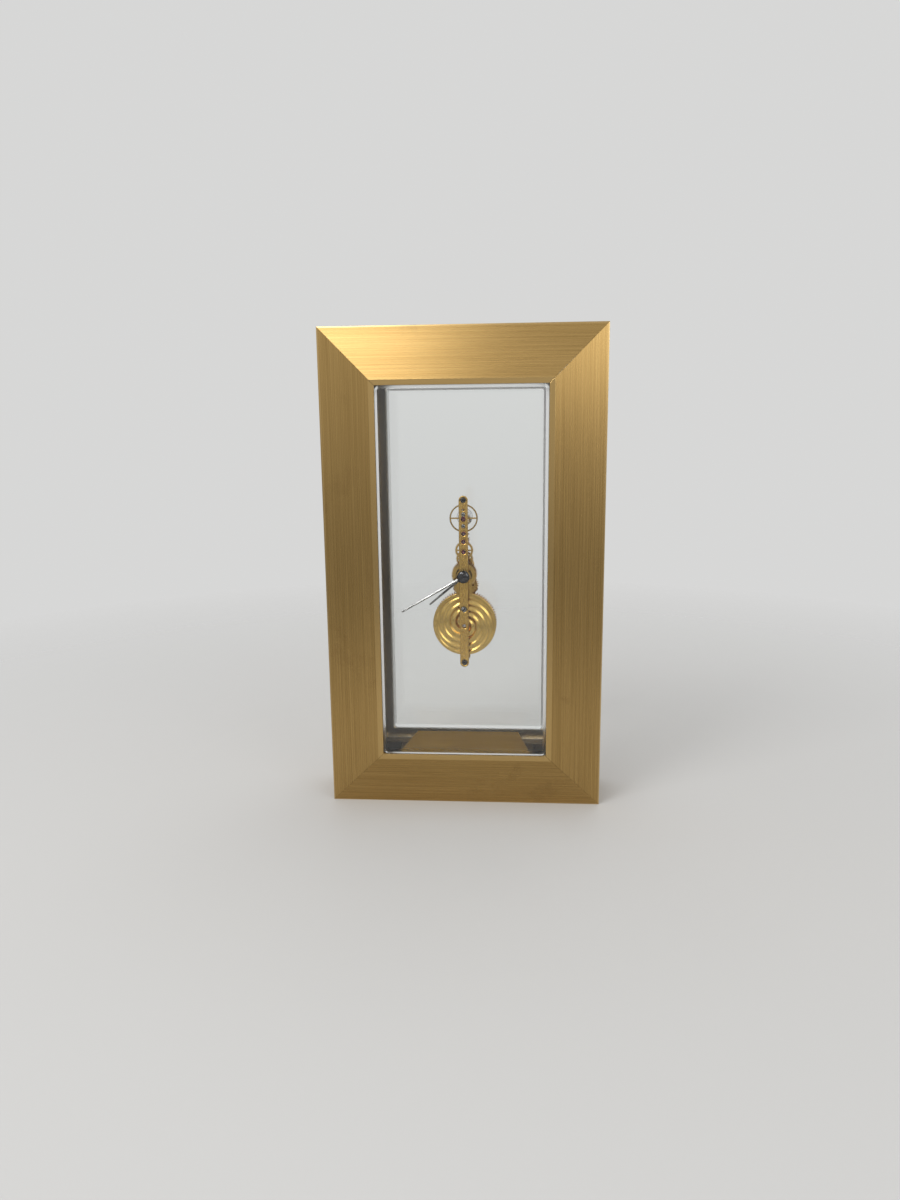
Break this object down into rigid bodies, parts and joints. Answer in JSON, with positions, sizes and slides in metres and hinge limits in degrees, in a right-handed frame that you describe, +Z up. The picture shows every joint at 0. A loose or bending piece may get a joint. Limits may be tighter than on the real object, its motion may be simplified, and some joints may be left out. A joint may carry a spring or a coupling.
{
  "type": "skeleton desk clock",
  "caption": "Free-standing desk clock: a mitred brushed brass frame with clear plates front and back and an in-line skeleton movement, two hands and a wound barrel between them.",
  "frame": {"origin": "middle of the flat underside of the bottom rail, which the clock stands on, halfway between its front and rear edges", "axes": "+Z up, +X to the right seen from the front, +Y to the back, so the hands face -Y"},
  "size_m": [0.12, 0.0484, 0.208],
  "materials": {
    "case_brass": "brushed",
    "gilt_brass": "polished",
    "clear_plate": "clear",
    "polished_steel": "polished",
    "steel": "satin",
    "blued_steel": "polished",
    "ruby": "polished"
  },
  "bodies": {
    "case": {"bottom_rail": "case_brass", "top_rail": "case_brass", "left_rail": "case_brass", "right_rail": "case_brass", "bracket_bottom_left": "steel", "bracket_bottom_right": "steel", "bracket_top_right": "steel", "bracket_top_left": "steel", "front_plate": "clear_plate", "rear_plate": "clear_plate", "bottom_spacer": "case_brass", "top_spacer": "case_brass", "base_screw_left": "steel", "base_screw_right": "steel", "train_bridge": "gilt_brass", "barrel_bridge": "gilt_brass", "rear_bridge": "gilt_brass", "hairspring": "blued_steel", "top_pillar": "gilt_brass", "bottom_pillar": "gilt_brass", "top_bridge_screw": "blued_steel", "bottom_bridge_screw": "blued_steel", "middle_bridge_screw": "steel", "top_standoff": "gilt_brass", "bottom_standoff": "gilt_brass", "top_mount_screw": "steel", "bottom_mount_screw": "steel", "pallet_jewel": "ruby", "escape_jewel": "ruby", "fourth_jewel": "ruby", "balance_jewel": "ruby", "upper_jewel_screw": "blued_steel", "lower_jewel_screw": "blued_steel", "click_screw": "blued_steel", "click_spring": "steel"},
    "minute_works": {"minute_arbor": "steel", "minute_hand": "polished_steel", "hand_nut": "polished_steel", "setting_knob": "gilt_brass"},
    "hour_works": {"hour_wheel": "gilt_brass", "hour_hand": "polished_steel"},
    "motion_works": {"motion_wheel": "gilt_brass"},
    "barrel": {"barrel_drum": "gilt_brass", "barrel_cover": "gilt_brass", "mainspring": "steel"},
    "winding": {"barrel_arbor": "steel", "ratchet_wheel": "steel", "winding_key": "gilt_brass"},
    "intermediate": {"intermediate_pinion": "gilt_brass", "intermediate_wheel": "gilt_brass"},
    "centre": {"centre_pinion": "steel", "centre_wheel": "gilt_brass"},
    "third": {"third_wheel": "gilt_brass"},
    "fourth": {"fourth_pinion": "steel", "fourth_wheel": "gilt_brass"},
    "escape": {"escape_wheel": "gilt_brass"},
    "lever": {"pallet_lever": "steel"},
    "balance": {"balance_wheel": "gilt_brass", "balance_staff": "steel"},
    "click": {"click": "steel"}
  },
  "joints": [
    {"name": "minute_turn", "type": "hinge", "parent": "case", "child": "minute_works", "pos_m": [0, 0, 0.1032], "axis": [0, 1, 0], "continuous": true},
    {"name": "hour_turn", "type": "hinge", "parent": "case", "child": "hour_works", "pos_m": [0, 0, 0.1032], "axis": [0, 1, 0], "continuous": true},
    {"name": "motion_turn", "type": "hinge", "parent": "case", "child": "motion_works", "pos_m": [0, 0, 0.09695], "axis": [0, 1, 0], "continuous": true},
    {"name": "fourth_turn", "type": "hinge", "parent": "case", "child": "fourth", "pos_m": [0, 0, 0.1137], "axis": [0, 1, 0], "continuous": true},
    {"name": "third_turn", "type": "hinge", "parent": "case", "child": "third", "pos_m": [0, 0, 0.1094], "axis": [0, 1, 0], "continuous": true},
    {"name": "centre_turn", "type": "hinge", "parent": "case", "child": "centre", "pos_m": [0, 0, 0.1032], "axis": [0, 1, 0], "continuous": true},
    {"name": "intermediate_turn", "type": "hinge", "parent": "case", "child": "intermediate", "pos_m": [0.0026, 0, 0.0973], "axis": [0, 1, 0], "continuous": true},
    {"name": "barrel_turn", "type": "hinge", "parent": "case", "child": "barrel", "pos_m": [0, 0, 0.0808], "axis": [0, 1, 0], "continuous": true},
    {"name": "escape_turn", "type": "hinge", "parent": "case", "child": "escape", "pos_m": [0, 0, 0.1181], "axis": [0, 1, 0], "continuous": true},
    {"name": "lever_rock", "type": "hinge", "parent": "case", "child": "lever", "pos_m": [0, 0, 0.1216], "axis": [0, 1, 0], "range_deg": [-5, 5]},
    {"name": "balance_swing", "type": "hinge", "parent": "case", "child": "balance", "pos_m": [0, 0, 0.128], "axis": [0, 1, 0], "range_deg": [-270, 270], "stiffness_Nm_per_rad": 0.000002},
    {"name": "winding_turn", "type": "hinge", "parent": "case", "child": "winding", "pos_m": [0, 0, 0.0808], "axis": [0, -1, 0], "range_deg": [0, 2700]},
    {"name": "click_lift", "type": "hinge", "parent": "case", "child": "click", "pos_m": [0, 0, 0.0898], "axis": [0, 1, 0], "range_deg": [0, 8], "stiffness_Nm_per_rad": 0.0002}
  ],
  "couplings": [
    {"joint": "hour_turn", "follows": "minute_turn", "ratio": 0.083333},
    {"joint": "motion_turn", "follows": "minute_turn", "ratio": -0.5},
    {"joint": "third_turn", "follows": "fourth_turn", "ratio": -0.13333},
    {"joint": "centre_turn", "follows": "fourth_turn", "ratio": 0.016667},
    {"joint": "intermediate_turn", "follows": "fourth_turn", "ratio": -0.016667},
    {"joint": "barrel_turn", "follows": "fourth_turn", "ratio": 0.0033333},
    {"joint": "escape_turn", "follows": "fourth_turn", "ratio": -10}
  ]
}
